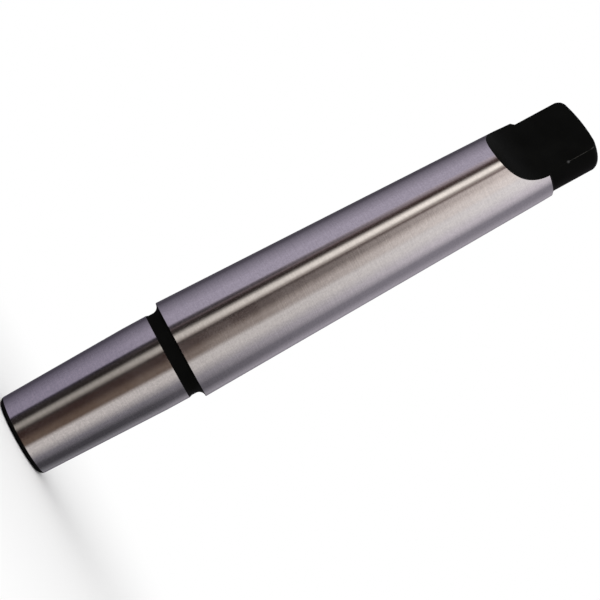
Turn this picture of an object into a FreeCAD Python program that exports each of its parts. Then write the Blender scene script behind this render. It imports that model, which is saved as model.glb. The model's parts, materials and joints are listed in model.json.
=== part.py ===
import FreeCAD, Part
import math
import os

# Drill chuck arbor, turned, milled and ground from one steel bar.
# It stands on the end that goes into the chuck, with its tang up.
# Z runs up the axis from that end face, the two tang flats face +Y and -Y.
# All sizes are in millimetres.

Vector = FreeCAD.Vector

# Short taper that holds the chuck: size B16, gauged at its large end
chuck_gauge_diameter = 15.733
chuck_taper_ratio = 0.04995
chuck_taper_length = 24.0
chuck_corner_radius = 1.0

# Short cylinder between the chuck taper and the relief groove
land_length = 4.3

# Relief groove where the grinding wheel runs out against the shank's shoulder
groove_width = 2.5
groove_depth = 0.165
groove_entry_length = 0.5
groove_fillet_radius = 1.2

# Morse taper shank, size 2: its gauge plane lies a short way in from the shoulder
morse_gauge_diameter = 17.780
morse_gauge_offset = 5.0
morse_taper_ratio = 0.04995
morse_taper_length = 69.0
shoulder_edge_break = 0.1
taper_end_chamfer_angle = 45.0

# Tang that the drill spindle's slot drives and the ejecting drift pushes on
tang_tip_distance = 79.4
tang_diameter = 13.4
tang_thickness = 6.1
tang_flat_length = 10.0
tang_runout_radius = 8.0
tang_crown_radius = 35.0
tang_corner_radius = 1.6

# Centre holes in both ends, which carry the arbor while its tapers are ground
centre_cone_angle = 60.0
drill_point_angle = 118.0
chuck_centre_mouth_diameter = 5.3
chuck_centre_pilot_diameter = 2.5
chuck_centre_depth = 5.5
tang_centre_mouth_diameter = 3.35
tang_centre_pilot_diameter = 1.6
tang_centre_depth = 3.5

# Room by which a milling cut passes the steel
cutter_overrun = 5.0

# Two points nearer than this are one point
same_point = 1e-6

# Heights along the axis
groove_start = chuck_taper_length + land_length
shoulder_height = groove_start + groove_width
taper_end_height = shoulder_height + morse_taper_length
tip_height = shoulder_height + tang_tip_distance
flat_start_height = tip_height - tang_flat_length

# Radii that follow from the sizes above
land_radius = chuck_gauge_diameter / 2
shoulder_radius = (morse_gauge_diameter + morse_gauge_offset * morse_taper_ratio) / 2
groove_radius = min(land_radius, shoulder_radius) - groove_depth
tang_radius = tang_diameter / 2
taper_end_radius = shoulder_radius - morse_taper_length * morse_taper_ratio / 2
chamfer_run = abs(taper_end_radius - tang_radius) / math.tan(math.radians(taper_end_chamfer_angle))
round_start_height = taper_end_height + chamfer_run


def point(radius, height):
    """A point of the turned outline, in the plane through the axis."""
    return Vector(radius, 0, height)


def on_circle(centre, radius, degrees):
    """The point of a circle in that plane, counted from the radial direction."""
    angle = math.radians(degrees)
    return centre + point(radius * math.cos(angle), radius * math.sin(angle))


def line(start, end):
    return Part.LineSegment(start, end).toShape()


def arc(centre, radius, start_degrees, end_degrees):
    start = on_circle(centre, radius, start_degrees)
    middle = on_circle(centre, radius, (start_degrees + end_degrees) / 2)
    end = on_circle(centre, radius, end_degrees)
    return Part.Arc(start, middle, end).toShape()


def path(points):
    """Straight edges from each point to the next, leaving out those of no length."""
    pairs = zip(points, points[1:])
    return [line(start, end) for start, end in pairs if not start.isEqual(end, same_point)]


def cone_depth(mouth_radius, pilot_radius):
    """Length of a centre hole's cone between its mouth and its pilot drilling."""
    return (mouth_radius - pilot_radius) / math.tan(math.radians(centre_cone_angle / 2))


def centre_hole(mouth_diameter, pilot_diameter, depth, mouth_height, inward):
    """Corner points of one centre hole, from its tip on the axis out to its mouth.

    Inward is 1 where the hole goes up into the arbor and -1 where it goes down.
    """
    mouth_radius = mouth_diameter / 2
    pilot_radius = pilot_diameter / 2
    drill_point = pilot_radius / math.tan(math.radians(drill_point_angle / 2))
    pilot_start = mouth_height + inward * cone_depth(mouth_radius, pilot_radius)
    pilot_end = mouth_height + inward * depth
    return [
        point(0, pilot_end + inward * drill_point),
        point(pilot_radius, pilot_end),
        point(pilot_radius, pilot_start),
        point(mouth_radius, mouth_height),
    ]


def chuck_end_edges():
    """End face, rounded corner, chuck taper and the short land after it."""
    lean = math.degrees(math.atan(chuck_taper_ratio / 2))
    small_radius = land_radius - chuck_taper_length * chuck_taper_ratio / 2
    corner_offset = chuck_corner_radius / math.cos(math.radians(lean))
    corner_run = chuck_corner_radius * chuck_taper_ratio / 2
    corner_centre = point(small_radius + corner_run - corner_offset, chuck_corner_radius)
    face_edge = on_circle(corner_centre, chuck_corner_radius, -90)
    taper_start = on_circle(corner_centre, chuck_corner_radius, -lean)
    hole = centre_hole(
        chuck_centre_mouth_diameter, chuck_centre_pilot_diameter, chuck_centre_depth, 0, 1
    )
    taper_end = point(land_radius, chuck_taper_length)
    land_end = point(land_radius, groove_start)
    corner = arc(corner_centre, chuck_corner_radius, -90, -lean)
    return path(hole + [face_edge]) + [corner] + path([taper_start, taper_end, land_end])


def groove_edges():
    """Relief groove: a shallow entry, a flat floor and a full fillet at the shoulder."""
    wall = shoulder_radius - shoulder_edge_break - groove_radius
    fillet_radius = min(groove_fillet_radius, wall, groove_width - groove_entry_length)
    fillet_centre = point(groove_radius + fillet_radius, shoulder_height - fillet_radius)
    floor_start = point(groove_radius, groove_start + groove_entry_length)
    floor_end = on_circle(fillet_centre, fillet_radius, 180)
    wall_start = on_circle(fillet_centre, fillet_radius, 90)
    wall_end = point(shoulder_radius - shoulder_edge_break, shoulder_height)
    entry = path([point(land_radius, groove_start), floor_start, floor_end])
    fillet = arc(fillet_centre, fillet_radius, 180, 90)
    return entry + [fillet] + path([wall_start, wall_end])


def shank_edges():
    """Morse taper from its broken large edge, and the chamfer down to the tang."""
    large_radius = shoulder_radius - shoulder_edge_break * morse_taper_ratio / 2
    return path([
        point(shoulder_radius - shoulder_edge_break, shoulder_height),
        point(large_radius, shoulder_height + shoulder_edge_break),
        point(taper_end_radius, taper_end_height),
        point(tang_radius, round_start_height),
    ])


def tang_edges():
    """Round of the tang, its rounded corner, its crowned end and the centre hole."""
    crown_centre = point(0, tip_height - tang_crown_radius)
    corner_reach = tang_crown_radius - tang_corner_radius
    corner_centre_radius = tang_radius - tang_corner_radius
    corner_rise = math.sqrt(corner_reach ** 2 - corner_centre_radius ** 2)
    corner_centre = crown_centre + point(corner_centre_radius, corner_rise)
    tangent_degrees = math.degrees(math.atan2(corner_rise, corner_centre_radius))
    mouth_degrees = math.degrees(math.acos(tang_centre_mouth_diameter / 2 / tang_crown_radius))
    mouth = on_circle(crown_centre, tang_crown_radius, mouth_degrees)
    side = line(point(tang_radius, round_start_height), on_circle(corner_centre, tang_corner_radius, 0))
    corner = arc(corner_centre, tang_corner_radius, 0, tangent_degrees)
    crown = arc(crown_centre, tang_crown_radius, tangent_degrees, mouth_degrees)
    hole = centre_hole(
        tang_centre_mouth_diameter, tang_centre_pilot_diameter, tang_centre_depth, mouth.z, -1
    )
    return [side, corner, crown] + path(hole[::-1])


def turned_blank():
    """The whole turned form: one outline spun about the axis."""
    edges = chuck_end_edges() + groove_edges() + shank_edges() + tang_edges()
    axis_edge = line(edges[-1].Vertexes[-1].Point, edges[0].Vertexes[0].Point)
    outline = Part.Wire(edges + [axis_edge])
    return Part.Face(outline).revolve(Vector(0, 0, 0), Vector(0, 0, 1), 360)


def tang_cutter():
    """Steel that one pass of a round-nosed cutter takes off the +Y side.

    The cut leaves the flat and runs out through the shank in an arc.
    """
    face = tang_thickness / 2
    top = tip_height + cutter_overrun
    outside = face + tang_runout_radius + shoulder_radius
    runout_bottom = flat_start_height - tang_runout_radius
    bend = math.sqrt(0.5) * tang_runout_radius
    flat_end = Vector(0, face, flat_start_height)
    arc_middle = Vector(0, face + tang_runout_radius - bend, flat_start_height - bend)
    arc_end = Vector(0, face + tang_runout_radius, runout_bottom)
    corners = [
        arc_end,
        Vector(0, outside, runout_bottom),
        Vector(0, outside, top),
        Vector(0, face, top),
        flat_end,
    ]
    outline = Part.Wire([Part.Arc(flat_end, arc_middle, arc_end).toShape()] + path(corners))
    width = 2 * (shoulder_radius + cutter_overrun)
    cutter = Part.Face(outline).extrude(Vector(width, 0, 0))
    cutter.translate(Vector(-width / 2, 0, 0))
    return cutter


def arbor():
    near_cut = tang_cutter()
    far_cut = near_cut.mirror(Vector(0, 0, 0), Vector(0, 1, 0))
    return turned_blank().cut(near_cut).cut(far_cut)


os.makedirs("parts", exist_ok=True)
solid = arbor().Solids[0]
solid.exportStep("parts/arbor.step")
print("valid solid:", solid.isValid())
print("height and volume:", round(solid.BoundBox.ZMax, 3), round(solid.Volume, 1))
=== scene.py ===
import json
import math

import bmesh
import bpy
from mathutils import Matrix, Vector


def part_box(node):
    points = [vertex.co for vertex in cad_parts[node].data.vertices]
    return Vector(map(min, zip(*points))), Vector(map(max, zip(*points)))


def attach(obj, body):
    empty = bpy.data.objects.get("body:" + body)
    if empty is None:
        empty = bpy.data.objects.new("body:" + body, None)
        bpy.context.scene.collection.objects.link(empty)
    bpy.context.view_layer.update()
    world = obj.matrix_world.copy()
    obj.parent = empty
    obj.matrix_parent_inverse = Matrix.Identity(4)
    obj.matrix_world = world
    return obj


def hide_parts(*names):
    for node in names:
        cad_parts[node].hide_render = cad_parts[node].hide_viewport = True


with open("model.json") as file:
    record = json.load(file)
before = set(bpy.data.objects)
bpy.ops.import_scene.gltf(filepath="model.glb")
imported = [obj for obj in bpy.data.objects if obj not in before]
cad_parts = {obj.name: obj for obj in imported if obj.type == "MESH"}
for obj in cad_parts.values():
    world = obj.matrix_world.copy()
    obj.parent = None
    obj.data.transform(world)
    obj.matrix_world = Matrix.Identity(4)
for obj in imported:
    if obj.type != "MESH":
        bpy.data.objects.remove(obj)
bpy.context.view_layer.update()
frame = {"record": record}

# %% [markdown]
# A drill chuck arbor is one bar of steel with a taper at each end.
# The short taper is pressed into a drill chuck, the long one sits in the
# spindle of a drill press, and the flat-sided tang at the top keeps it from
# slipping. The real one is turned on a lathe, milled, hardened and then
# ground, and this lesson follows the same order: turn an outline, mill the
# tang, and finish the surfaces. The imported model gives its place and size.

MM = 0.001

cad_low, cad_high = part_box("arbor")
mounts = {mount["name"]: mount for mount in frame["record"]["mounts"]}
print("height of the arbor in mm:", round((cad_high.z - cad_low.z) / MM, 2))

# %% [markdown]
# Both tapers are standard ones: a Morse taper no. 2 and the short taper B16,
# which is cut from the same cone. Their gauge radii and lengths and the
# tang's flats come from the record's mounts, so they can't differ from the
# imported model. What the record doesn't hold is written as on a maker's
# drawing, in millimetres. The ratio of a taper is its change of diameter per
# length, so its radius changes by half of that.

# %% Sizes of the chuck end and the relief groove
taper_ratio = 0.04995
slope = taper_ratio / 2

chuck_taper_length = mounts["chuck_taper"]["dims"]["length_mm"] * MM
land_radius = mounts["chuck_taper"]["dims"]["r_mm"] * MM
land_length = 4.3 * MM
chuck_corner = 1.0 * MM
black_rim = 0.85 * MM
chuck_hole = {"mouth_radius": 2.65 * MM, "pilot_radius": 1.25 * MM, "depth": 5.5 * MM}

groove_width = 2.5 * MM
groove_depth = 0.165 * MM
groove_entry = 0.5 * MM
groove_fillet = 1.2 * MM
small_radius = land_radius - chuck_taper_length * slope
print("radius at the small end in mm:", round(small_radius / MM, 3))

# %% Sizes of the shank and the tang
morse_length = mounts["morse_shank"]["dims"]["length_mm"] * MM
morse_gauge_offset = 5.0 * MM
shoulder_radius = mounts["morse_shank"]["dims"]["r_mm"] * MM + morse_gauge_offset * slope
shoulder_break = 0.1 * MM

tang_radius = 6.7 * MM
tang_half = mounts["tang_flat_back"]["pos_m"][1]
tang_length = 79.4 * MM
flat_length = 10.0 * MM
runout_radius = 8.0 * MM
crown_radius = 35.0 * MM
tang_corner = 1.6 * MM
tang_hole = {"mouth_radius": 1.675 * MM, "pilot_radius": 0.8 * MM, "depth": 3.5 * MM}
print("thickness of the tang in mm:", round(2 * tang_half / MM, 2))

# %% Heights above the chuck end
groove_start = chuck_taper_length + land_length
shoulder = groove_start + groove_width
taper_end = shoulder + morse_length
tip = shoulder + tang_length
flat_start = tip - flat_length
print("shoulder, taper end and tip in mm:", [round(z / MM, 2) for z in (shoulder, taper_end, tip)])

# %% [markdown]
# A turned part is fully told by half of its outline, which runs from the axis
# at one end to the axis at the other. It could be drawn as a curve, but here
# every point follows from the sizes, so it stays a plain list of radii and
# heights. Straight runs need few points and round ones need many, and two
# small functions write them.


# %% Two ways of writing a stretch of outline
def run(start, end, step=3 * MM):
    """Points of a straight run, no further apart than the step, without its start."""
    count = max(1, math.ceil(math.dist(start, end) / step))
    return [
        tuple(a + (b - a) * i / count for a, b in zip(start, end))
        for i in range(1, count + 1)
    ]


def bend(centre, radius, start_degrees, end_degrees, steps):
    """Points of an arc, without its first one, its angle counted from the radial line."""
    points = []
    for i in range(1, steps + 1):
        angle = math.radians(start_degrees + (end_degrees - start_degrees) * i / steps)
        points.append((centre[0] + radius * math.cos(angle), centre[1] + radius * math.sin(angle)))
    return points


print("a quarter circle in two steps:", bend((0, 0), 1, 0, 90, 2))

# %% [markdown]
# The ends of such an arbor carry centre holes, because both tapers are ground
# while the bar turns between two centres. Each hole is a 60 degree cone over a
# small drilled pilot. The hole could be cut out of a finished bar, but as it is
# round too, four more points in the outline give it for nothing.

# %% Centre holes, from the axis out to the mouth
cone_half_angle = math.radians(30)
drill_half_angle = math.radians(59)


def centre_hole(mouth_radius, pilot_radius, depth, face_height, inward):
    """Outline points of a hole that goes up where inward is 1, and down where it is -1."""
    cone = (mouth_radius - pilot_radius) / math.tan(cone_half_angle)
    drill_point = pilot_radius / math.tan(drill_half_angle)
    return [
        (0.0, face_height + inward * (depth + drill_point)),
        (pilot_radius, face_height + inward * depth),
        (pilot_radius, face_height + inward * cone),
        (mouth_radius, face_height),
    ]


outline = centre_hole(**chuck_hole, face_height=0.0, inward=1)
print("centre hole of the chuck end, depth in mm:", round(outline[0][1] / MM, 2))

# %% [markdown]
# The chuck end is the small end of the short taper. Its rim is rounded so that
# it starts easily in the chuck's hole. The rounding is an arc that touches both
# the flat end and the cone, so its centre follows from the cone's slope, and
# it moves by itself when a size is changed.

# %% The chuck end and its short taper
corner_steps = 10
lean = math.degrees(math.atan(slope))
corner_centre = (
    small_radius + chuck_corner * slope - chuck_corner / math.cos(math.radians(lean)),
    chuck_corner,
)
outline += [(corner_centre[0], 0.0)]
outline += bend(corner_centre, chuck_corner, -90, -lean, corner_steps)
outline += run(outline[-1], (land_radius, chuck_taper_length))
outline += run(outline[-1], (land_radius, groove_start))
print("outline points up to the groove:", len(outline))

# %% [markdown]
# The grinding wheel needs room to run off between the two tapers. The real
# arbor has a shallow groove there with a rounded upper wall, which steps out
# to the shoulder. It is only 0.165 mm deep, yet it stays geometry, because its
# wall and its shadow are what the eye sees of it.

# %% The relief groove and the shank
fillet_steps = 10
groove_radius = land_radius - groove_depth
fillet_centre = (groove_radius + groove_fillet, shoulder - groove_fillet)
outline += [(groove_radius, groove_start + groove_entry)]
outline += [(groove_radius, fillet_centre[1])]
outline += bend(fillet_centre, groove_fillet, 180, 90, fillet_steps)
outline += [(shoulder_radius - shoulder_break, shoulder)]
outline += [(shoulder_radius - shoulder_break * slope, shoulder + shoulder_break)]
taper_end_radius = shoulder_radius - morse_length * slope
outline += run(outline[-1], (taper_end_radius, taper_end))
print("outline points up to the tang:", len(outline))

# %% [markdown]
# The tang is turned round before it gets its flats. A 45 degree step leads
# down to it from the long taper, its end is slightly crowned, and the corner
# between is again an arc that touches both neighbours.

# %% The tang's round, its corner and its crowned end
tang_corner_steps = 8
crown_steps = 3
round_start = taper_end + taper_end_radius - tang_radius
crown_centre = (0.0, tip - crown_radius)
corner_out = tang_radius - tang_corner
corner_up = math.sqrt((crown_radius - tang_corner) ** 2 - corner_out ** 2)
tang_corner_centre = (corner_out, crown_centre[1] + corner_up)
tangent_degrees = math.degrees(math.atan2(corner_up, corner_out))
mouth_degrees = math.degrees(math.acos(tang_hole["mouth_radius"] / crown_radius))
outline += [(tang_radius, round_start)]
outline += [(tang_radius, tang_corner_centre[1])]
outline += bend(tang_corner_centre, tang_corner, 0, tangent_degrees, tang_corner_steps)
outline += bend(crown_centre, crown_radius, tangent_degrees, mouth_degrees, crown_steps)
tang_hole_points = centre_hole(**tang_hole, face_height=outline[-1][1], inward=-1)
outline += reversed(tang_hole_points[:-1])
print("points in the whole outline:", len(outline))

# %% [markdown]
# Blender's tools for geometry and for materials are both built from nodes.
# Adding each node by hand takes several lines, so one helper adds a node, sets
# its options, and fills its sockets: a value is written into the socket, and
# another node's output is linked to it.


# %% One helper for all node trees
def add(tree, kind, sockets=None, **settings):
    """A new node. A list fills one socket with several links."""
    node = tree.nodes.new(kind)
    for name, value in settings.items():
        setattr(node, name, value)
    for key, value in (sockets or {}).items():
        for item in value if isinstance(value, list) else [value]:
            if isinstance(item, bpy.types.NodeSocket):
                tree.links.new(item, node.inputs[key])
            else:
                node.inputs[key].default_value = item
    return node


def new_material(name):
    material = bpy.data.materials.new(name)
    material.use_nodes = True
    material.node_tree.nodes.clear()
    return material, material.node_tree


# %% [markdown]
# A hex colour is what the eye sees on a screen, and Blender computes with
# linear light, so one function turns the one into the other. Patterns are
# scaled in cells per metre, which is hard to picture, so a second function
# takes the size of one cell in millimetres.


# %% Colours and pattern sizes
def linear(hex_colour):
    channels = [int(hex_colour[i:i + 2], 16) / 255 for i in (1, 3, 5)]
    light = [c / 12.92 if c <= 0.04045 else ((c + 0.055) / 1.055) ** 2.4 for c in channels]
    return (*light, 1.0)


def per_mm(length_mm):
    return 1 / (length_mm * MM)


print("middle grey in linear light:", [round(c, 3) for c in linear("#808080")])

# %% [markdown]
# Both tapers are hardened alloy steel, finished on a cylindrical grinder. The
# wheel leaves fine scratches that run around the bar, a few hundredths of a
# millimetre apart, so the metal mirrors its surroundings as long clean bands
# and blurs them along the axis. A plain smooth metal would mirror too sharply.
# Here the shader is anisotropic: its tangent runs around the axis, and a
# quarter turn stretches the highlights along the axis. Noise that is
# stretched around the bar stands for the scratches. They are too fine
# to show in a picture of the whole arbor, so they are drawn several times
# coarser, with a fine even grain between them.


# %% Ground steel
def ground_steel():
    material, tree = new_material("ground_steel")
    place = add(tree, "ShaderNodeTexCoord").outputs["Object"]
    scratch_place = add(tree, "ShaderNodeMapping", {
        "Vector": place, "Scale": (per_mm(7), per_mm(7), per_mm(0.2)),
    })
    scratches = add(tree, "ShaderNodeTexNoise", {
        "Vector": scratch_place.outputs[0], "Scale": 1.0, "Detail": 3.0, "Roughness": 0.6,
    })
    feed_place = add(tree, "ShaderNodeMapping", {
        "Vector": place, "Scale": (per_mm(40), per_mm(40), per_mm(1.8)),
    })
    feed = add(tree, "ShaderNodeTexNoise", {
        "Vector": feed_place.outputs[0], "Scale": 1.0, "Detail": 2.0,
    })
    grain = add(tree, "ShaderNodeTexNoise", {
        "Vector": place, "Scale": per_mm(0.4), "Detail": 2.0, "Roughness": 0.6,
    })
    cloud = add(tree, "ShaderNodeTexNoise", {
        "Vector": place, "Scale": per_mm(7), "Detail": 3.0,
    })
    marks = add(tree, "ShaderNodeMix", {
        "Factor": 0.6, 2: scratches.outputs[0], 3: grain.outputs[0],
    })
    tone = add(tree, "ShaderNodeValToRGB", {"Fac": marks.outputs[0]})
    tone.color_ramp.elements[0].position = 0.35
    tone.color_ramp.elements[0].color = linear("#C8C8C9")
    tone.color_ramp.elements[1].position = 0.65
    tone.color_ramp.elements[1].color = linear("#D8D8D8")
    polish = add(tree, "ShaderNodeMapRange", {
        "Value": cloud.outputs[0], "From Min": 0.3, "From Max": 0.7,
        "To Min": 0.13, "To Max": 0.18,
    })
    uneven = add(tree, "ShaderNodeBump", {
        "Height": grain.outputs[0], "Strength": 0.5, "Distance": 0.003 * MM,
    })
    fine = add(tree, "ShaderNodeBump", {
        "Height": scratches.outputs[0], "Strength": 0.3, "Distance": 0.01 * MM,
        "Normal": uneven.outputs[0],
    })
    relief = add(tree, "ShaderNodeBump", {
        "Height": feed.outputs[0], "Strength": 0.5, "Distance": 0.01 * MM,
        "Normal": fine.outputs[0],
    })
    around = add(tree, "ShaderNodeTangent", direction_type="RADIAL", axis="Z")
    shader = add(tree, "ShaderNodeBsdfPrincipled", {
        "Base Color": tone.outputs[0], "Metallic": 1.0, "Roughness": polish.outputs[0],
        "Anisotropic": 0.85, "Anisotropic Rotation": 0.25,
        "Normal": relief.outputs[0], "Tangent": around.outputs[0],
    })
    add(tree, "ShaderNodeOutputMaterial", {"Surface": shader.outputs[0]})
    return material


bright_steel = ground_steel()
print("nodes in the ground steel:", len(bright_steel.node_tree.nodes))

# %% [markdown]
# A glint at one point of the long edge of the front flat is painted. The
# materials on both sides of the edge ask how near that point is, and turn grey
# around it. The glint has no faces of its own.

# %% A painted glint on the tang's edge
glint_height = flat_start + 3.7 * MM
glint_place = (math.sqrt(tang_radius ** 2 - tang_half ** 2), -tang_half, glint_height)
glint_core = 0.05 * MM
glint_reach = 0.35 * MM


def painted_glint(tree, place):
    """How strong the painted glint is near its point, from 0 to 1."""
    distance = add(tree, "ShaderNodeVectorMath", {0: place, 1: glint_place}, operation="DISTANCE")
    return add(tree, "ShaderNodeMapRange", {
        "Value": distance.outputs["Value"], "From Min": glint_core, "From Max": glint_reach,
        "To Min": 1.0, "To Max": 0.0,
    }).outputs[0]


print("place of the nick in mm:", [round(c / MM, 2) for c in glint_place])

# %% [markdown]
# Where the grinding wheel doesn't reach, the steel keeps the black skin of
# its heat treatment: the tang, the run-outs, the relief groove and the chuck
# end. The skin is thin and almost without gloss, with a faint cold sheen. It is
# oxide and no metal to the eye, so the shader isn't metallic, and its specular
# level is turned down until only grazing light shows on it.


# %% Blackened steel
def blackened_steel():
    material, tree = new_material("blackened_steel")
    place = add(tree, "ShaderNodeTexCoord").outputs["Object"]
    grain = add(tree, "ShaderNodeTexNoise", {
        "Vector": place, "Scale": per_mm(0.25), "Detail": 4.0, "Roughness": 0.6,
    })
    patches = add(tree, "ShaderNodeTexNoise", {
        "Vector": place, "Scale": per_mm(4), "Detail": 3.0,
    })
    tone = add(tree, "ShaderNodeValToRGB", {"Fac": patches.outputs[0]})
    tone.color_ramp.elements[0].position = 0.35
    tone.color_ramp.elements[0].color = linear("#0C0C0A")
    tone.color_ramp.elements[1].position = 0.75
    tone.color_ramp.elements[1].color = linear("#10100E")
    # A painted glint: the skin turns grey around one point of the edge.
    with_painted_glint = add(tree, "ShaderNodeMix", {
        "Factor": painted_glint(tree, place), 6: tone.outputs[0], 7: linear("#505050"),
    }, data_type="RGBA")
    polish = add(tree, "ShaderNodeMapRange", {
        "Value": patches.outputs[0], "From Min": 0.3, "From Max": 0.7,
        "To Min": 0.42, "To Max": 0.55,
    })
    relief = add(tree, "ShaderNodeBump", {
        "Height": grain.outputs[0], "Strength": 0.4, "Distance": 0.01 * MM,
    })
    shader = add(tree, "ShaderNodeBsdfPrincipled", {
        "Base Color": with_painted_glint.outputs[2], "Metallic": 0.0, "Roughness": polish.outputs[0],
        "Specular IOR Level": 0.013, "Specular Tint": linear("#C0C8FF"),
        "Normal": relief.outputs[0],
    })
    add(tree, "ShaderNodeOutputMaterial", {"Surface": shader.outputs[0]})
    return material


black_steel = blackened_steel()
print("nodes in the blackened steel:", len(black_steel.node_tree.nodes))

# %% [markdown]
# Along the long edge of the front flat, from the glint to the rounded corner of
# the tip, a fine grey line is a painted highlight. The tang's edges get a
# material of their own, which is black skin everywhere but on that one line.
# There it mixes in a grey metallic tone by height, by the distance from the
# edge and by a patchy noise, so the other edges stay black.

# %% Painted highlight on the tang's edge
highlight_from = flat_start + 3.6 * MM
highlight_fully = flat_start + 4.0 * MM
highlight_core = 0.1 * MM
highlight_reach = 0.5 * MM


def edge_material_with_painted_highlight():
    material, tree = new_material("painted_highlight_edge")
    place = add(tree, "ShaderNodeTexCoord").outputs["Object"]
    highlight_break_noise = add(tree, "ShaderNodeTexNoise", {
        "Vector": place, "Scale": per_mm(0.8), "Detail": 3.0,
    })
    height = add(tree, "ShaderNodeSeparateXYZ", {0: place}).outputs["Z"]
    towards_tip = add(tree, "ShaderNodeMapRange", {
        "Value": height, "From Min": highlight_from, "From Max": highlight_fully,
    })
    highlight_breaks = add(tree, "ShaderNodeMapRange", {
        "Value": highlight_break_noise.outputs[0], "From Min": 0.4, "From Max": 0.7,
    })
    level = add(tree, "ShaderNodeVectorMath", {0: place, 1: (1, 1, 0)}, operation="MULTIPLY")
    from_edge = add(tree, "ShaderNodeVectorMath", {
        0: level.outputs[0], 1: (glint_place[0], glint_place[1], 0.0),
    }, operation="DISTANCE")
    on_edge = add(tree, "ShaderNodeMapRange", {
        "Value": from_edge.outputs["Value"], "From Min": highlight_core, "From Max": highlight_reach,
        "To Min": 1.0, "To Max": 0.0,
    })
    on_line = add(tree, "ShaderNodeMath", {
        0: towards_tip.outputs[0], 1: on_edge.outputs[0],
    }, operation="MULTIPLY")
    # A painted highlight: a grey metallic line along one edge of the tang.
    painted_highlight = add(tree, "ShaderNodeMath", {
        0: on_line.outputs[0], 1: highlight_breaks.outputs[0],
    }, operation="MULTIPLY")
    # Painted light on the edge: the highlight line and the glint together.
    painted_light = add(tree, "ShaderNodeMath", {
        0: painted_highlight.outputs[0], 1: painted_glint(tree, place),
    }, operation="MAXIMUM")
    tone = add(tree, "ShaderNodeValToRGB", {"Fac": painted_light.outputs[0]})
    tone.color_ramp.elements[0].color = linear("#0B0B0C")
    tone.color_ramp.elements[1].color = linear("#585856")
    shader = add(tree, "ShaderNodeBsdfPrincipled", {
        "Base Color": tone.outputs[0], "Metallic": painted_light.outputs[0], "Roughness": 0.35,
        "Specular IOR Level": 0.1,
    })
    add(tree, "ShaderNodeOutputMaterial", {"Surface": shader.outputs[0]})
    return material


edge_steel = edge_material_with_painted_highlight()
print("nodes in the rubbed edge:", len(edge_steel.node_tree.nodes))

# %% [markdown]
# The outline is spun about the axis, and a cutter is then taken away from
# both sides of the tang, as on the mill. Both follow a rule, so Geometry Nodes
# fit them better than modelling by hand: a change of any size runs through by
# itself. The tree needs two simple meshes to start from, the outline as bare
# points and the cutter as one flat face, with the round nose that gives the
# run-outs their shape.

# %% Outline and cutter as simple meshes
cutter_margin = 5 * MM
cutter_reach = 12 * MM
nose_steps = 48


def flat_mesh(name, points, faces=()):
    """An object at the origin made from plain points."""
    mesh = bpy.data.meshes.new(name)
    mesh.from_pydata(points, (), faces)
    obj = bpy.data.objects.new(name, mesh)
    bpy.context.scene.collection.objects.link(obj)
    return obj


arbor = flat_mesh("arbor_dressed", [(r, 0.0, z) for r, z in outline])

cutter_top = tip + cutter_margin
cutter_side = tang_half + runout_radius + cutter_margin
nose_centre = (tang_half + runout_radius, flat_start)
nose = bend(nose_centre, runout_radius, 180, 270, nose_steps)
cutter_outline = [(tang_half, flat_start), *nose, (cutter_side, nose[-1][1])]
cutter_outline += [(cutter_side, cutter_top), (tang_half, cutter_top)]
cutter = flat_mesh(
    "tang_cutter",
    [(-cutter_reach, y, z) for y, z in cutter_outline],
    faces=[tuple(range(len(cutter_outline)))],
)
print("points in the cutter's outline:", len(cutter_outline))

# %% [markdown]
# The tree's inputs are its controls. Each has a name and a kind, and beside
# them stands the value that this arbor gives it.

# %% Inputs of the tree
columns = 200
weld = 0.001 * MM

inputs = {
    "Columns": ("NodeSocketInt", columns),
    "Cutter": ("NodeSocketObject", cutter),
    "Cutter width": ("NodeSocketFloat", 2 * cutter_reach),
    "Chuck end ground from": ("NodeSocketFloat", black_rim),
    "Chuck end ground to": ("NodeSocketFloat", groove_start),
    "Shank ground from": ("NodeSocketFloat", shoulder + shoulder_break),
    "Shank ground to": ("NodeSocketFloat", taper_end),
    "Edges broken from": ("NodeSocketFloat", round_start + weld),
    "Ground steel": ("NodeSocketMaterial", bright_steel),
    "Blackened steel": ("NodeSocketMaterial", black_steel),
}

tree = bpy.data.node_groups.new("turn_and_mill", "GeometryNodeTree")
tree.interface.new_socket("Outline", in_out="INPUT", socket_type="NodeSocketGeometry")
identifiers = {
    name: tree.interface.new_socket(name, in_out="INPUT", socket_type=kind).identifier
    for name, (kind, value) in inputs.items()
}
tree.interface.new_socket("Geometry", in_out="OUTPUT", socket_type="NodeSocketGeometry")
given = add(tree, "NodeGroupInput").outputs
position = add(tree, "GeometryNodeInputPosition").outputs[0]
height = add(tree, "ShaderNodeSeparateXYZ", {0: position}).outputs["Z"]
print("inputs of the tree:", ", ".join(identifiers))


# %% [markdown]
# Turning: a flat grid gets one row for each outline point and one column for
# each step of the turn. A grid point's number tells its row and its column. It
# looks up the outline point of its row, and is turned about the axis by its
# column's angle. The last column lands on the first, and each row on the axis
# shrinks to a point, so welding points that coincide closes the body.


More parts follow.
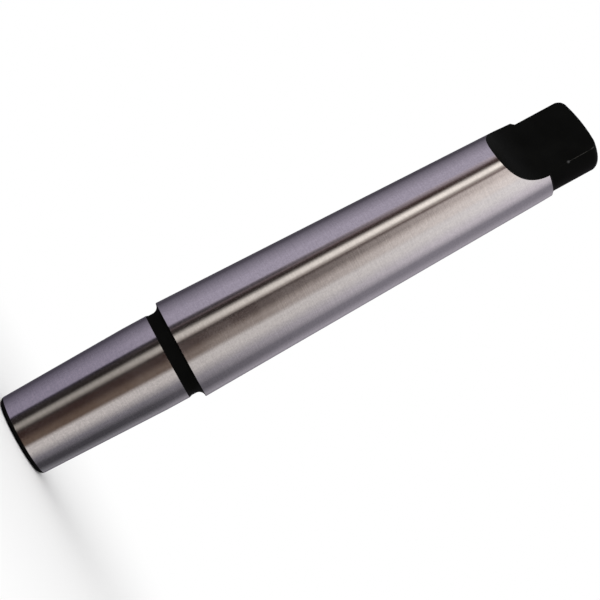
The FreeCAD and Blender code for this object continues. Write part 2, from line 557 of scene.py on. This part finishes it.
# %% Turn the outline
def turned_bar():
    size = add(tree, "GeometryNodeAttributeDomainSize", {0: given["Outline"]})
    rows = size.outputs["Point Count"]
    across = add(tree, "FunctionNodeIntegerMath", {0: given["Columns"], 1: 1}, operation="ADD")
    grid = add(tree, "GeometryNodeMeshGrid", {"Vertices X": across.outputs[0], "Vertices Y": rows})
    index = add(tree, "GeometryNodeInputIndex").outputs[0]
    row = add(tree, "FunctionNodeIntegerMath", {0: index, 1: rows}, operation="MODULO")
    column = add(tree, "FunctionNodeIntegerMath", {0: index, 1: rows}, operation="DIVIDE_FLOOR")
    angle = add(tree, "ShaderNodeMapRange", {
        "Value": column.outputs[0], "From Max": given["Columns"], "To Max": math.tau,
    })
    outline_point = add(tree, "GeometryNodeSampleIndex", {
        "Geometry": given["Outline"], "Value": position, "Index": row.outputs[0],
    }, data_type="FLOAT_VECTOR")
    turned_point = add(tree, "ShaderNodeVectorRotate", {
        "Vector": outline_point.outputs[0], "Axis": (0, 0, 1), "Angle": angle.outputs[0],
    })
    spun = add(tree, "GeometryNodeSetPosition", {
        "Geometry": grid.outputs["Mesh"], "Position": turned_point.outputs[0],
    })
    return add(tree, "GeometryNodeMergeByDistance", {
        "Geometry": spun.outputs[0], "Distance": weld,
    }).outputs[0]


bar = turned_bar()
print("nodes for turning:", len(tree.nodes))


# %% [markdown]
# Milling: the cutter's face is pushed across the bar to a solid block, which
# keeps its first face only when a flipped copy is joined to it. A mirrored
# block does the other side. Before the cut, the blocks' faces get a mark named
# milled, and the faces that they leave on the tang inherit it.


# %% Mill the tang
def milled_tang(bar):
    profile = add(tree, "GeometryNodeObjectInfo", {"Object": given["Cutter"]}).outputs["Geometry"]
    sideways = add(tree, "ShaderNodeCombineXYZ", {"X": given["Cutter width"]})
    pushed = add(tree, "GeometryNodeExtrudeMesh", {
        "Mesh": profile, "Offset": sideways.outputs[0], "Offset Scale": 1.0, "Individual": False,
    })
    first_face = add(tree, "GeometryNodeFlipFaces", {"Mesh": profile})
    joined = add(tree, "GeometryNodeJoinGeometry", {
        0: [pushed.outputs["Mesh"], first_face.outputs[0]],
    })
    block = add(tree, "GeometryNodeMergeByDistance", {
        "Geometry": joined.outputs[0], "Distance": weld,
    })
    marked = add(tree, "GeometryNodeStoreNamedAttribute", {
        "Geometry": block.outputs[0], "Name": "milled", "Value": True,
    }, data_type="BOOLEAN", domain="FACE")
    mirrored = add(tree, "GeometryNodeTransform", {
        "Geometry": marked.outputs[0], "Scale": (1, -1, 1),
    })
    other_block = add(tree, "GeometryNodeFlipFaces", {"Mesh": mirrored.outputs[0]})
    return add(tree, "GeometryNodeMeshBoolean", {
        "Mesh 1": bar, "Mesh 2": [marked.outputs[0], other_block.outputs[0]],
    }, operation="DIFFERENCE", solver="EXACT").outputs


milled = milled_tang(bar)
print("nodes for turning and milling:", len(tree.nodes))


# %% [markdown]
# The cut knows its own edges, and those above the run-outs are the tang's long
# edges and the edges of its end. They get a bevel weight, so that a Bevel
# modifier can round just them later on.


# %% Mark the edges of the tang
def marked_edges(milled):
    on_tang = add(tree, "FunctionNodeCompare", {0: height, 1: given["Edges broken from"]})
    both = add(tree, "FunctionNodeBooleanMath", {
        0: milled["Intersecting Edges"], 1: on_tang.outputs[0],
    })
    return add(tree, "GeometryNodeStoreNamedAttribute", {
        "Geometry": milled["Mesh"], "Name": "bevel_weight_edge", "Value": both.outputs[0],
    }, data_type="FLOAT", domain="EDGE").outputs[0]


edges_marked = marked_edges(milled)
print("nodes up to the marked edges:", len(tree.nodes))


# %% [markdown]
# The wheel grinds by height: everything is black at first, the two tapers
# become bright, and the milled faces turn black again, because they lie deeper
# than the wheel reaches. The tree makes no copies, but it still ends in Realize
# Instances, so that it stays safe to extend.


# %% Give the steel its two finishes
def finished_bar(geometry):
    geometry = add(tree, "GeometryNodeRealizeInstances", {"Geometry": geometry}).outputs[0]
    geometry = add(tree, "GeometryNodeSetMaterial", {
        "Geometry": geometry, "Material": given["Blackened steel"],
    }).outputs[0]
    for part in ("Chuck end", "Shank"):
        above = add(tree, "FunctionNodeCompare", {0: height, 1: given[part + " ground from"]})
        below = add(tree, "FunctionNodeCompare", {0: given[part + " ground to"], 1: height})
        within = add(tree, "FunctionNodeBooleanMath", {0: above.outputs[0], 1: below.outputs[0]})
        geometry = add(tree, "GeometryNodeSetMaterial", {
            "Geometry": geometry, "Selection": within.outputs[0], "Material": given["Ground steel"],
        }).outputs[0]
    is_milled = add(tree, "GeometryNodeInputNamedAttribute", {
        "Name": "milled",
    }, data_type="BOOLEAN").outputs[0]
    return add(tree, "GeometryNodeSetMaterial", {
        "Geometry": geometry, "Selection": is_milled, "Material": given["Blackened steel"],
    }).outputs[0]


add(tree, "NodeGroupOutput", {"Geometry": finished_bar(edges_marked)})
print("nodes in the whole tree:", len(tree.nodes))

# %% [markdown]
# The tree is hung on the outline as a modifier. Each input is set by its
# identifier, because that stays the same when a name is changed. The result is
# then taken as a plain mesh, which needs neither the tree nor the cutter. The
# mark and the empty first material slot that the cut left are cleared away.

# %% Run the tree on the outline
modifier = arbor.modifiers.new("turn_and_mill", "NODES")
modifier.node_group = tree
for name, (kind, value) in inputs.items():
    modifier[identifiers[name]] = value


def apply_modifiers(obj):
    """Turns what the modifiers make into the object's own mesh."""
    bpy.context.view_layer.update()
    evaluated = obj.evaluated_get(bpy.context.evaluated_depsgraph_get())
    plain_mesh = bpy.data.meshes.new_from_object(evaluated)
    obj.modifiers.clear()
    obj.data = plain_mesh
    return plain_mesh


turned = apply_modifiers(arbor)
turned.attributes.remove(turned.attributes["milled"])
turned.materials.pop(index=0)
bpy.data.objects.remove(cutter)
print("faces after milling:", len(turned.polygons))
for slot, material in enumerate(turned.materials):
    count = sum(face.material_index == slot for face in turned.polygons)
    print("faces of", material.name + ":", count)

# %% [markdown]
# No edge of a real tool is perfectly sharp. The tang's edges are broken by
# about a tenth of a millimetre, so that they catch the light as a fine line. Broken
# edges in the outline would run all round, so a Bevel modifier does it, only
# on the marked edges, and gives them the edge material with the painted highlight.

# %% Break the edges of the tang
edge_break = 0.09 * MM
edge_break_steps = 2

turned.materials.append(edge_steel)
bevel = arbor.modifiers.new("edge_break", "BEVEL")
bevel.limit_method = "WEIGHT"
bevel.width = edge_break
bevel.segments = edge_break_steps
bevel.use_clamp_overlap = False
bevel.material = len(turned.materials) - 1
finished = apply_modifiers(arbor)
print("faces after the edges are broken:", len(finished.polygons))

# %% [markdown]
# Round surfaces are shaded smooth and real edges stay sharp. The arcs of the
# outline turn by about ten degrees a step at most, so a limit a little above
# that tells the two apart. The same cell counts the open edges, of which a
# closed body has none, and measures the volume.

# %% Shade the surfaces and check the body
sharp_above = math.radians(14)

checked = bmesh.new()
checked.from_mesh(finished)
for face in checked.faces:
    face.smooth = True
for edge in checked.edges:
    edge.smooth = edge.calc_face_angle(0.0) < sharp_above
print("open edges:", sum(not edge.is_manifold for edge in checked.edges))
print("volume in cubic mm:", round(checked.calc_volume() / MM ** 3, 1))
checked.to_mesh(finished)
checked.free()

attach(arbor, "root")
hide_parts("arbor")

# %% [markdown]
# The arbor stands on a plain pale floor. A white floor that only glows would
# lose the shadow, and a lit one would show its far edge, so this one is paper
# close to the part, where it keeps the shadow, and turns into the same white
# as the background further out. Only the camera sees that white: to all other
# rays the floor is paper everywhere, and lights nothing. Mirror rays pass
# through it, because all that the steel mirrors is the tent.

# %% Floor
floor_reach = 3.0
fade_from = 0.015
fade_to = 0.11


def paper_floor():
    material, tree = new_material("paper_floor")
    place = add(tree, "ShaderNodeTexCoord").outputs["Object"]
    distance = add(tree, "ShaderNodeVectorMath", {0: place}, operation="LENGTH")
    fade = add(tree, "ShaderNodeMapRange", {
        "Value": distance.outputs["Value"], "From Min": fade_from, "From Max": fade_to,
    }, interpolation_type="SMOOTHSTEP")
    paper = add(tree, "ShaderNodeBsdfDiffuse", {"Color": linear("#F7F7F7")})
    white = add(tree, "ShaderNodeEmission", {"Color": linear("#FFFFFF"), "Strength": 1.0})
    camera_ray = add(tree, "ShaderNodeLightPath").outputs["Is Camera Ray"]
    share = add(tree, "ShaderNodeMath", {0: fade.outputs[0], 1: camera_ray}, operation="MULTIPLY")
    mixed = add(tree, "ShaderNodeMixShader", {
        0: share.outputs[0], 1: paper.outputs[0], 2: white.outputs[0],
    })
    add(tree, "ShaderNodeOutputMaterial", {"Surface": mixed.outputs[0]})
    return material


floor = flat_mesh(
    "floor",
    [(x * floor_reach, y * floor_reach, 0.0) for x, y in ((-1, -1), (1, -1), (1, 1), (-1, 1))],
    faces=[(0, 1, 2, 3)],
)
floor.data.materials.append(paper_floor())
floor.visible_glossy = False
print("floor from corner to corner in m:", round(2 * floor_reach * math.sqrt(2), 2))

# %% [markdown]
# Polished metal has no colour of its own to speak of: it shows what stands
# around it. A product photographer wraps it in a tent of pale cloth with dark
# and bright strips, and the tapers mirror each strip as a band from end to
# end. Many lamps could do the same, but each would light the floor too. This
# tent is a tall cylinder that only mirrors see, and it reaches far below the
# floor so that the steel still mirrors it when looked at from above. Its
# panels are written by the compass direction they stand in, in degrees from +X.

# %% Panels of the light tent
tent_radius = 1.5
tent_low = -12.0
tent_high = 1.7
tent_sides = 128
tent_glow = 1.6
seam_direction = 155
full_turn = 360

# Each panel: its name, the directions where it starts and ends, its colour
# low down, its colour high up, and the height in metres where they meet.
# Between two panels colour and height blend.
panels = (
    ("corner of the room", -205, -198, "#403C46", "#444048", 0.0),
    ("violet cloth", -140, -118, "#7E7686", "#9A92A0", 0.0),
    ("black flag's fringe", -114, -111, "#28242A", "#AC9EA6", 0.36),
    ("black flag", -110, -109, "#242020", "#94888C", 0.44),
    ("gap in the flag", -106, -105, "#221E1E", "#5E4E50", 0.05),
    ("second black flag", -102, -96, "#221E1C", "#3A2C29", 0.3),
    ("strip light", -88, -82, "#88827C", "#F0E6DE", 0.18),
    ("strip light's edge", -77, -75, "#5A544F", "#948A84", 0.0),
    ("brown flag's fringe", -73, -70, "#2E2624", "#80706C", 0.42),
    ("brown flag", -66, -56, "#2E201D", "#F0E2DC", 0.48),
    ("brown curtain", -40, -31, "#54443A", "#DED4D0", 0.31),
    ("white cloth", -21, -6, "#B2ABA8", "#D8D2D2", 0.4),
    ("fold of the cloth", 19, 21, "#6A666C", "#BEB6BC", 0.22),
    ("grey wall", 42, 58, "#3A383C", "#7A757D", 0.12),
    ("grey cloth", 84, 92, "#6C6A6E", "#908A92", 0.0),
    ("corner of the room", 122, 155, "#403C46", "#444048", 0.0),
)
blend_height = 0.25
print("panels of the tent:", len(panels))

# %% [markdown]
# The tent's cloth is one material. A radial gradient tells the direction of
# each point, and three colour ramps run round the tent: the low colours, the
# high colours, and the height where they meet, written as a shade of grey.


# %% Cloth of the light tent
def tent_cloth():
    material, tree = new_material("tent_cloth")
    place = add(tree, "ShaderNodeTexCoord").outputs["Object"]
    height = add(tree, "ShaderNodeSeparateXYZ", {0: place}).outputs["Z"]
    compass = add(tree, "ShaderNodeTexGradient", {0: place}, gradient_type="RADIAL").outputs["Fac"]
    from_seam = add(tree, "ShaderNodeMath", {
        0: compass, 1: (full_turn / 2 - seam_direction) / full_turn,
    }, operation="ADD")
    turn = add(tree, "ShaderNodeMath", {0: from_seam.outputs[0]}, operation="FRACT").outputs[0]

    positions, low_colours, high_colours, meetings = [], [], [], []
    for name, start, end, low, high, meeting in panels:
        positions += [(d + full_turn - seam_direction) / full_turn for d in (start, end)]
        low_colours += [linear(low)] * 2
        high_colours += [linear(high)] * 2
        meetings += [(meeting, meeting, meeting, 1.0)] * 2

    ramps = []
    for colours in (low_colours, high_colours, meetings):
        ramp = add(tree, "ShaderNodeValToRGB", {"Fac": turn})
        stops = ramp.color_ramp.elements
        stops[0].position, stops[-1].position = positions[0], positions[-1]
        for position in positions[1:-1]:
            stops.new(position)
        for stop, colour in zip(stops, colours):
            stop.color = colour
        ramps.append(ramp.outputs[0])

    low, high, meeting = ramps
    blend_start = add(tree, "ShaderNodeMath", {0: meeting, 1: blend_height}, operation="SUBTRACT")
    blend_end = add(tree, "ShaderNodeMath", {0: meeting, 1: blend_height}, operation="ADD")
    rise = add(tree, "ShaderNodeMapRange", {
        "Value": height, "From Min": blend_start.outputs[0], "From Max": blend_end.outputs[0],
    }, interpolation_type="SMOOTHSTEP")
    colour = add(tree, "ShaderNodeMix", {
        "Factor": rise.outputs[0], 6: low, 7: high,
    }, data_type="RGBA")
    glow = add(tree, "ShaderNodeEmission", {"Color": colour.outputs[2], "Strength": tent_glow})
    add(tree, "ShaderNodeOutputMaterial", {"Surface": glow.outputs[0]})
    return material


cloth = tent_cloth()
print("nodes in the tent's cloth:", len(cloth.node_tree.nodes))

# %% Light tent
ring = [math.tau * i / tent_sides for i in range(tent_sides)]
tent_points = [
    (tent_radius * math.cos(a), tent_radius * math.sin(a), z)
    for z in (tent_low, tent_high) for a in ring
]
tent_faces = [
    (i, (i + 1) % tent_sides, tent_sides + (i + 1) % tent_sides, tent_sides + i)
    for i in range(tent_sides)
]
tent = flat_mesh("light_tent", tent_points, tent_faces)
tent.data.materials.append(cloth)
for ray in ("camera", "diffuse", "transmission", "volume_scatter", "shadow"):
    setattr(tent, "visible_" + ray, False)
print("height of the tent in m:", round(tent_high - tent_low, 2))

# %% [markdown]
# The world gives the plain soft light. Camera, mirror and transmission rays
# see it as plain white, and it lights everything else at an even level. A
# softbox overhead adds a little direction, so that the arbor casts a soft
# shadow at its foot.

# %% World
fill_level = 0.75

world = bpy.data.worlds.new("studio")
bpy.context.scene.world = world
world.use_nodes = True
sky = world.node_tree
sky.nodes.clear()
rays = add(sky, "ShaderNodeLightPath").outputs
seen = add(sky, "ShaderNodeMath", {
    0: rays["Is Camera Ray"], 1: rays["Is Glossy Ray"],
}, operation="MAXIMUM")
seen_or_through = add(sky, "ShaderNodeMath", {
    0: seen.outputs[0], 1: rays["Is Transmission Ray"],
}, operation="MAXIMUM")
fill = add(sky, "ShaderNodeBackground", {"Color": linear("#FFFFFF"), "Strength": fill_level})
backdrop = add(sky, "ShaderNodeBackground", {"Color": linear("#FFFFFF"), "Strength": 1.0})
mixed = add(sky, "ShaderNodeMixShader", {
    0: seen_or_through.outputs[0], 1: fill.outputs[0], 2: backdrop.outputs[0],
})
add(sky, "ShaderNodeOutputWorld", {"Surface": mixed.outputs[0]})
print("nodes in the world:", len(sky.nodes))

# %% Softbox
softbox = bpy.data.lights.new("softbox", "AREA")
softbox.shape = "DISK"
softbox.size = 1.2
softbox.energy = 6.0
softbox_place = Vector((-0.25, -0.3, 1.4))
softbox_target = Vector((0, 0, 0.05))
softbox_object = bpy.data.objects.new("softbox", softbox)
softbox_object.location = softbox_place
softbox_object.rotation_euler = (softbox_target - softbox_place).to_track_quat("-Z", "Y").to_euler()
bpy.context.scene.collection.objects.link(softbox_object)
print("softbox above the floor in m:", round(softbox_place.z, 2))

# %% [markdown]
# The photograph was taken from the side, about a quarter of a metre away, with
# the camera turned so that the upright arbor runs across the picture. The
# place, the turn and the focal length in pixels were worked out from the
# outline of the part in the picture, whose sizes are known. A camera without a
# turn looks straight down, so its elevation counts back from a right angle.

# %% Camera
focal_pixels = 1548.9
picture_pixels = 600
camera_azimuth = 31.9
camera_elevation = -4.25
camera_roll = 61.45
camera_place = Vector((141.88, -223.63, 33.10)) * MM

lens = bpy.data.cameras.new("camera")
lens.sensor_width = 36.0
lens.lens = lens.sensor_width * focal_pixels / picture_pixels
lens.clip_start = 0.01
lens.clip_end = 20.0
camera = bpy.data.objects.new("camera", lens)
camera.matrix_world = (
    Matrix.Translation(camera_place)
    @ Matrix.Rotation(math.radians(camera_azimuth), 4, "Z")
    @ Matrix.Rotation(math.radians(90 - camera_elevation), 4, "X")
    @ Matrix.Rotation(math.radians(camera_roll), 4, "Z")
)
bpy.context.scene.collection.objects.link(camera)
bpy.context.scene.camera = camera
bpy.context.scene.view_settings.view_transform = "Standard"
print("camera looks along", [round(v, 3) for v in -camera.matrix_world.col[2].to_3d()])
